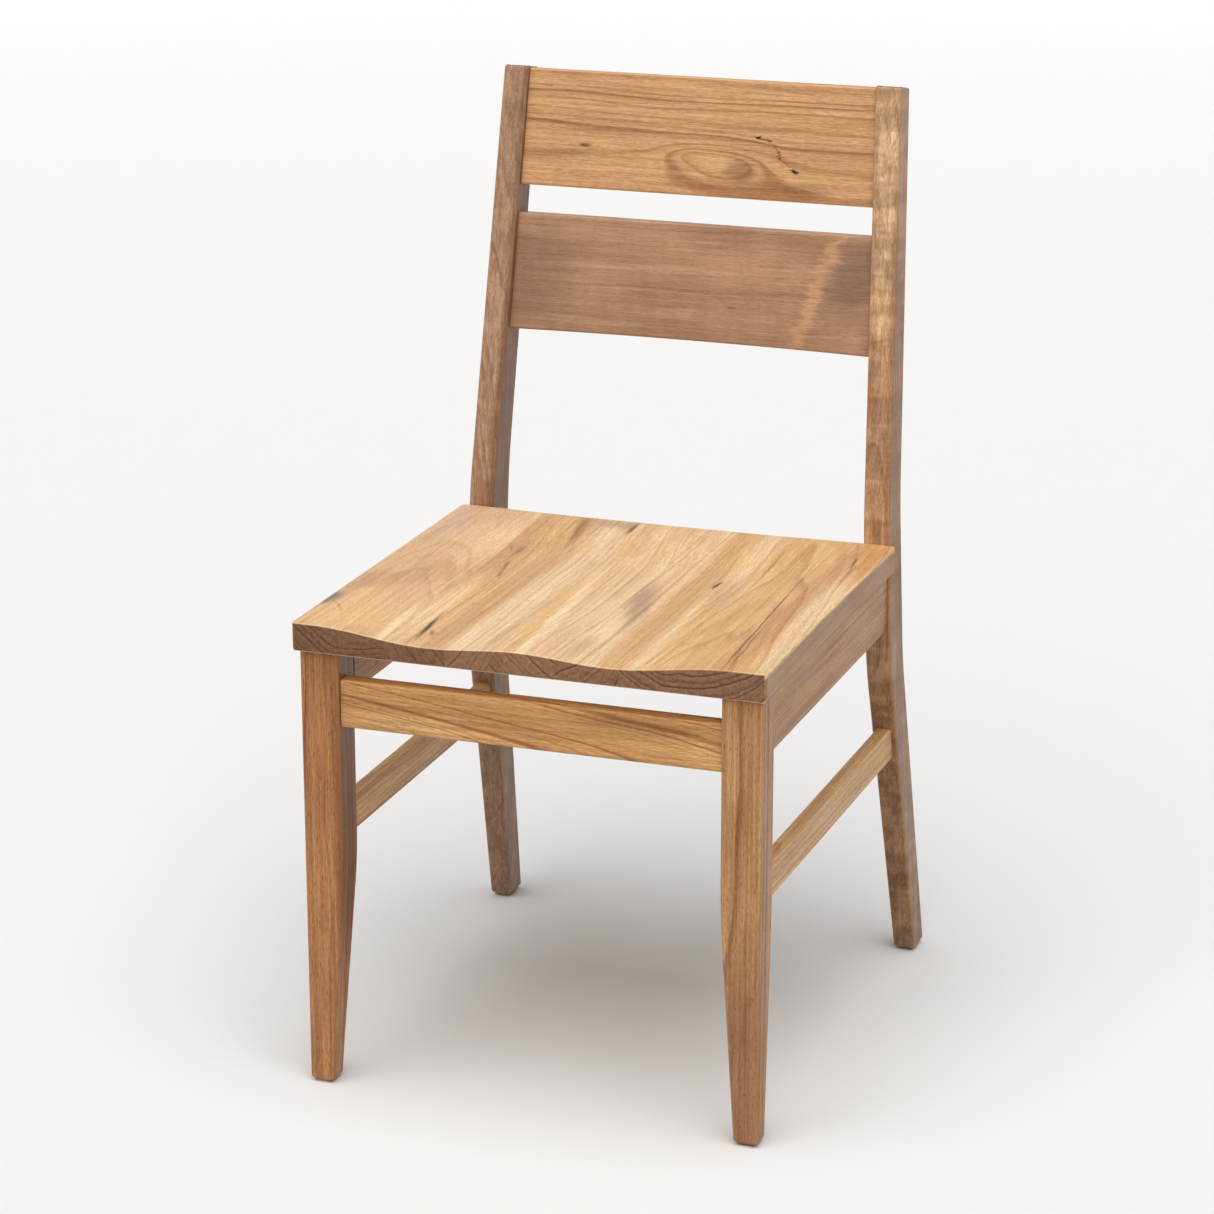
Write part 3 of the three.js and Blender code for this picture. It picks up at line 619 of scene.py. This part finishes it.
# across the slats' faces, the millimetres of the eyes and marks run downwards from the middle
top_slat_timber = timber(
    "top_slat_timber", "X", ("d5a879", "c59568", "795739"), pith=(20, 42), lean=(0.008, 0.0),
    origin=(0, 0, top_middle), ring=3.5, ring_depth=0.72, ring_tint="a57c5f", faintest=0.4, wander=4.0,
    figure=0.7, streaks=0.5, seed=14.5,
    eyes=[((20, 27), (20, 50), -9), ((15, -14), (9, 26), -3)],
    marks=[
        ((20, 20), (7, 13), 0, "d5ac7c", 0.6, 0.6),
        ((29, 44), (10, 14), 10, "9b6f51", 0.7, 0.5),
        ((44, 112), (6, 20), 0, "a17554", 0.5, 0.6),
        ((13, -116), (1.8, 6), 0, "6d472e", 0.9, 0.7),
        ((-3.3, 69), (1.6, 4), 30, "2e1d17", 1.0, 0.4),
        ((26.7, 99), (2.2, 3.4), 0, "2e1d17", 1.0, 0.4),
        ((11.7, 84), (0.9, 21), 43, "724a2f", 0.85, 0.6),
    ],
)
lower_slat_timber = timber(
    "lower_slat_timber", "X", ("b28b6c", "9e775b", "5e4333"), pith=(-260, 420), lean=(0.02, 0.05),
    origin=(0, 0, lower_middle), ring=7, ring_depth=0.25, wander=9, curl=0.03, figure=0.9, streaks=0.3,
    fibres=0.65, seed=15.1,
    marks=[
        ((5, -165), (45, 34), 0, "8e6c5b", 0.7, 0.7),
        ((-20, 35), (17, 70), 0, "c09774", 0.5, 0.8),
        ((-2, 130), (8, 62), -70, "c89b74", 0.85, 0.5),
        ((-14, 163), (22, 30), -60, "836556", 0.75, 0.6),
        ((45, 170), (14, 10), 0, "bb9374", 0.6, 0.7),
        ((19, 48), (1.0, 5), 0, "7e4f3e", 0.6, 0.7),
    ],
)


def back_slat(name, middle, width, arch):
    """A board carried from post to post: its section leans with the posts, and its ends follow them."""
    share = stations(-1, 1, 2 * END_SHARE, np.linspace(-SLAT_FILL, SLAT_FILL, SLAT_STEPS))[:, None]
    half = SLAT_THICKNESS / 2
    back, up, rise, arris = section(-half, half, -width / 2, width / 2, ARRIS_RADIUS)
    up = up + arch * (1 - share**2) * (1 - rise)
    y = (post_front(middle) + post_back(middle)) / 2 + up * np.sin(SLAT_ANGLE) + back * np.cos(SLAT_ANGLE)
    z = middle + up * np.cos(SLAT_ANGLE) - back * np.sin(SLAT_ANGLE)
    return carried(name, share * (post_inner(z) - GLUE_LINE), y, z, arris)


fit(back_slat("crest_slat", top_middle, TOP_SLAT_WIDTH, 0), "top_slat", top_slat_timber)
lumbar_slat = back_slat("lumbar_slat", lower_middle, LOWER_SLAT_WIDTH, LOWER_SLAT_ARCH)
fit(lumbar_slat, "lower_slat", lower_slat_timber)

# ---------------------------------------------------------------- glue blocks
# Sawn blocks glued into the corners under the seat, against apron and seat. Each is bored for one screw up
# into the seat and one sideways into the apron.
BLOCK_TONES = ("b8936a", "9c7850", "6d5035")
block_timber = timber("block_timber", "Y", BLOCK_TONES, pith=(190, 60), ring=4, ring_depth=0.4, seed=17.3)
for name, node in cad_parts.items():
    if "glue_block" in name:
        node.data.materials.clear()
        node.data.materials.append(block_timber)

# ---------------------------------------------------------------- seat
# Six boards of the same wood as the frame, glued edge to edge and then scooped together: two thigh hollows
# with a low ridge between them at the front, dying out towards the back rim. The outer edges are eased.
BOARD_EDGES = [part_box(f"seat_board_{number}")[0].x for number in range(2, 7)]
HOLLOW_DEPTH = 10 * MM
HOLLOW_OFFSET = 87 * MM
HOLLOW_REACH = 113 * MM
SCOOP_SHIFT = -8 * MM
POMMEL_HEIGHT = 5 * MM
POMMEL_LENGTH = 190 * MM
DISH_BACK_RIM = 8 * MM
DISH_BACK_SLOPE = 130 * MM
DISH_BACK_DIP = 0.12
RIM_EASE = 1.6 * MM
UNDER_EASE = 3.4 * MM
FRONT_CORNER = 3.5 * MM
BACK_CORNER = 4.5 * MM
CORNER_STEPS = 14
BOARD_STEP = 4 * MM
FEWEST_STEPS = 8
BOARD_JOINT = 0.02 * MM
SEAT_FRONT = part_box("seat_board_1")[0].y
SEAT_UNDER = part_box("seat_board_1")[0].z
# points along the section's flats: the top, the front edge, the underside and the back edge
SEAT_FLATS = (70, 5, 12, 5)


def eased_step(t):
    """Zero below 0, one above 1, and the cubic that joins them level at both ends."""
    t = np.clip(t, 0, 1)
    return t * t * (3 - 2 * t)


def scoop(x, y):
    """Depth of the seat below its rim: a full hollow out to its lowest line and an eased rise to the side,
    less a ridge between the hollows that dies out from the front, all of it easing up to the back rim."""
    across = np.abs(x - SCOOP_SHIFT)
    fall = 1 - eased_step((across - HOLLOW_OFFSET) / HOLLOW_REACH)
    crest = 1 - eased_step(across / HOLLOW_OFFSET)
    ridge = POMMEL_HEIGHT * crest * (1 - eased_step((y - SEAT_FRONT) / POMMEL_LENGTH))
    rise = eased_step((SEAT_BACK - DISH_BACK_RIM - y) / DISH_BACK_SLOPE)
    return (HOLLOW_DEPTH * fall - ridge) * (DISH_BACK_DIP + (1 - DISH_BACK_DIP) * rise)


def seat_slice(x):
    """The seat's section at each x: a thin rounded slab whose ends draw in round the outline's corners,
    whose faces draw in at the eased side edge, and whose top is let down by the scoop."""
    from_side = SEAT_SIDE - np.abs(x)
    front = SEAT_FRONT + rounded_end(from_side, FRONT_CORNER)
    back = SEAT_BACK - GLUE_LINE - rounded_end(from_side, BACK_CORNER)
    top = SEAT_RIM - rounded_end(from_side, RIM_EASE)
    under = SEAT_UNDER + rounded_end(from_side, UNDER_EASE)
    y, z, lift, arris = section(front, back, under, top, RIM_EASE, SEAT_FLATS)
    return y, z - lift * scoop(x[:, None], y), arris


# for each board: its three tones and its cut end's, where the pith ran (across, above the face, and its
# lean towards the back), how deeply the rings print, and its marks
BOARD_FIGURES = {
    1: (("dcb68e", "cfa77c", "8f6948", "7d573b"), (-168, 60, -0.08), 0.22, [
        ((-205, 370), (34, 60), 0, "d0ac8e", 0.8, 0.7),
        ((-158, 315), (24, 60), 0, "e2c299", 0.7, 0.7),
        ((-212, 145), (50, 24), -42, "c49b73", 0.85, 0.35),
        ((-168, 200), (20, 36), 0, "c7a075", 0.75, 0.35),
        ((-185, 60), (42, 55), 0, "dfb683", 0.8, 0.6),
        ((-223, 80), (7, 22), 8, "7d6d65", 0.85, 0.6, 0, 7),
        ((-205, 60), (1.5, 14), -35, "a28267", 0.6, 0.6),
        ((-142, 40), (4.5, 60), -3, "f0d5a9", 0.85, 0.5),
    ]),
    2: (("e2bc8f", "cea471", "805b3b", "7f593d"), (20, 60, -0.01), 0.4, [
        ((-130, 320), (12, 120), 0, "c2966c", 0.85, 0.5),
        ((-127, 110), (10, 90), 0, "e6c497", 0.8, 0.6),
        ((-88, 200), (11, 330), 1, "c59c6e", 0.8, 0.5),
        ((-121.5, 312), (1.6, 20), 3, "7f5a44", 0.6, 0.8),
        ((-117, 256), (1.9, 15), -10, "7b5746", 0.65, 0.8),
        ((-113.5, 233), (1.6, 11), -12, "87624a", 0.6, 0.8),
        ((-133, 312), (1.2, 14), -22, "97714c", 0.5, 0.8),
        ((-87, 385), (5, 42), -6, "99714c", 0.8, 0.7),
        ((-114.5, 58), (2.0, 32), -4, "41393b", 0.9, 0.7),
        ((-105, 42), (1.8, 8), -15, "6f564d", 0.7, 0.8),
    ]),
    3: (("e4c6a1", "d9b68c", "a47a4e", "926a4a"), (-150, 60, 0.01), 0.4, [
        ((-55, 405), (26, 14), 0, "b49070", 0.7, 0.6),
        ((-36, 397), (2.6, 16), 2, "78583e", 0.9, 0.7),
        ((-73, 330), (6, 90), 4, "c9a070", 0.6, 0.6),
        ((-38, 90), (5, 150), 0, "d2ab79", 0.7, 0.7),
    ]),
    4: (("e6c69d", "d8b183", "9c754b", "926a4a"), (90, 70, 0.01), 0.4, [
        ((-22, 120), (9, 110), -4, "dbb074", 0.8, 0.6),
        ((-10, 90), (6, 150), -5, "f0d6ab", 0.8, 0.6),
        ((10, 60), (14, 70), 0, "d9b38c", 0.6, 0.7),
        ((-20, 370), (10, 50), 0, "c99d6b", 0.5, 0.7),
    ]),
    5: (("e4c49a", "d7b083", "8c6542", "8b6447"), (-40, 60, 0.01), 0.4, [
        ((44, 190), (12, 66), -10, "ae8c73", 0.85, 0.65),
        ((42, 100), (8, 60), -4, "edd3af", 0.6, 0.7),
        ((78, 240), (13, 330), 0, "ca9e68", 0.85, 0.5),
        ((38, 45), (9, 30), 0, "c7a381", 0.6, 0.7),
    ]),
    6: (("e0b884", "d0a369", "855a35", "8a6448"), (152, 66, -0.06), 0.38, [
        ((106, 365), (11, 120), 0, "e4c397", 0.9, 0.4),
        ((101, 60), (7.5, 190), -1, "e4c397", 0.9, 0.4),
        ((108, 235), (14, 40), -10, "c7a47d", 0.7, 0.7),
        ((93.6, 267), (2.0, 11), 6, "4a3027", 1.0, 0.6),
        ((191, 150), (13, 420), 2, "c38f61", 0.75, 0.5),
        ((178.5, 140), (0.9, 150), -2.6, "6b422b", 0.9, 0.8),
        ((186.5, 70), (0.8, 75), -3.5, "7d5133", 0.8, 0.8),
        ((129, 330), (1.4, 60), 0, "946941", 0.6, 0.8),
        ((209, 303), (2.2, 32), -1, "4b2f2b", 1.0, 0.5),
        ((204, 352), (1.5, 14), -4, "6b4938", 0.8, 0.7),
        ((216, 330), (9, 100), 3, "c99160", 0.7, 0.5),
        ((224, 110), (18, 190), -5, "e2c398", 0.9, 0.3),
        ((229, 200), (8, 400), 0, "956b4a", 0.9, 0.15, 15.5, 15),
    ]),
}
edges = [-SEAT_SIDE] + BOARD_EDGES + [SEAT_SIDE]
near = FRONT_CORNER * (1 - np.cos(np.linspace(0, pi / 2, CORNER_STEPS)))
for number, (left, right) in enumerate(zip(edges, edges[1:]), start=1):
    inside = np.linspace(left, right, max(FEWEST_STEPS, int((right - left) / BOARD_STEP)))
    if number == 1:
        inside = np.concatenate([left + near, inside[inside > left + FRONT_CORNER]])
    if number == 6:
        inside = np.concatenate([inside[inside < right - FRONT_CORNER], right - near])
    x = np.unique(np.clip(inside, left + BOARD_JOINT * (number > 1), right - BOARD_JOINT * (number < 6)))
    y, z, arris = seat_slice(x)
    board = carried(f"scooped_board_{number}", x[:, None], y, z, arris)
    (*tones, end_tone), (pith_x, pith_up, lean), ring_depth, marks = BOARD_FIGURES[number]
    board_timber = timber(
        f"board_timber_{number}", "Y", tones, pith=(pith_x, -pith_up), lean=(0.0, lean),
        origin=(0, SEAT_FRONT, SEAT_RIM), ring=6, ring_depth=ring_depth, figure=0.75, streaks=0.5,
        fibres=0.72, seed=20.0 + 1.7 * number, marks=marks, end_tone=end_tone,
    )
    fit(board, f"seat_board_{number}", board_timber)

# ---------------------------------------------------------------- screws
# Countersunk zinc-plated steel screws with a square drive, driven up and outwards through the glue blocks.
screw_steel = bpy.data.materials.new("zinc_screw")
screw_steel.use_nodes = True
tree = screw_steel.node_tree
plating = tree.nodes["Principled BSDF"]
plating.inputs["Metallic"].default_value = 1.0
spot = add(tree, "TexCoord").outputs["Object"]
speckle = add(tree, "TexNoise", spot, None, 900.0, 3.0, 0.6).outputs["Fac"]
tone = mixed(tree, speckle, shade("8f9092"), shade("c9cac8"))
tree.links.new(tone, plating.inputs["Base Color"])
tree.links.new(ranged(tree, speckle, 0.3, 0.7, 0.28, 0.42), plating.inputs["Roughness"])
for name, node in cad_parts.items():
    if "screw" in name:
        node.data.materials.clear()
        node.data.materials.append(screw_steel)

# ---------------------------------------------------------------- studio
# A round pale floor that curves up into a low backdrop, a dim even sky over it, and one very large soft
# light from above the front. The floor is a profile of reach and rise, turned about the upright axis.
FLOOR_RADIUS = 8
INNER_RADII = [1, 4]
COVE_RADIUS = 1.5
COVE_STEPS = 24
BACKDROP_HEIGHT = 3.6
STUDIO_SIDES = 96
turn = np.linspace(0, pi / 2, COVE_STEPS)
cove = FLOOR_RADIUS + COVE_RADIUS * np.sin(turn)
reach = np.concatenate([INNER_RADII, cove, [FLOOR_RADIUS + COVE_RADIUS]])
rise = np.concatenate([[0, 0], COVE_RADIUS * (1 - np.cos(turn)), [BACKDROP_HEIGHT]])
round_about = np.linspace(0, 2 * pi, STUDIO_SIDES, endpoint=False)
x, y = reach[:, None] * np.cos(round_about), reach[:, None] * np.sin(round_about)
studio_points = np.stack(np.broadcast_arrays(x, y, rise[:, None]), -1)
here = np.arange(STUDIO_SIDES)
following = np.roll(here, -1)
start = np.arange(len(reach) - 1)[:, None] * STUDIO_SIDES
outer = start + STUDIO_SIDES
rings = np.stack([start + here, outer + here, outer + following, start + following], -1)
floor_mesh = bpy.data.meshes.new("studio_floor")
floor_mesh.from_pydata(studio_points.reshape(-1, 3), [], [here.tolist()] + rings.reshape(-1, 4).tolist())
floor_mesh.shade_smooth()
floor = bpy.data.objects.new("studio_floor", floor_mesh)
bpy.context.scene.collection.objects.link(floor)
floor_paint = bpy.data.materials.new("pale_floor")
floor_paint.use_nodes = True
coat = floor_paint.node_tree.nodes["Principled BSDF"]
coat.inputs["Base Color"].default_value = shade("dcdbda")
coat.inputs["Roughness"].default_value = 0.9
floor_mesh.materials.append(floor_paint)

world = bpy.data.worlds.new("studio")
bpy.context.scene.world = world
world.use_nodes = True
sky = world.node_tree.nodes["Background"]
sky.inputs["Color"].default_value = shade("ffffff")
sky.inputs["Strength"].default_value = 0.2

key = bpy.data.lights.new("large_softbox", "SUN")
key.energy = 3.6
key.angle = radians(75)
key_lamp = bpy.data.objects.new("large_softbox", key)
KEY_FROM = Vector((0.1, -0.43, 1.0))
key_lamp.rotation_euler = (-KEY_FROM).to_track_quat("-Z", "Y").to_euler()
bpy.context.scene.collection.objects.link(key_lamp)

# ---------------------------------------------------------------- camera
# A long lens higher than the chair's back, in front of it and to the right, that looks down at the seat.
CAMERA_PLACE = Vector((1.1452, -3.2314, 1.4919))
CAMERA_AIM = Vector((0.07698, -0.2615, 0.50159))
CAMERA_ROLL = radians(-0.08)
lens = bpy.data.cameras.new("camera")
lens.sensor_width = 36
lens.lens = 111.33
camera = bpy.data.objects.new("camera", lens)
look = (CAMERA_AIM - CAMERA_PLACE).to_track_quat("-Z", "Y").to_matrix()
look = look @ Matrix.Rotation(CAMERA_ROLL, 3, "Z")
camera.matrix_world = Matrix.Translation(CAMERA_PLACE) @ look.to_4x4()
bpy.context.scene.collection.objects.link(camera)
bpy.context.scene.camera = camera
bpy.context.scene.view_settings.view_transform = "Standard"
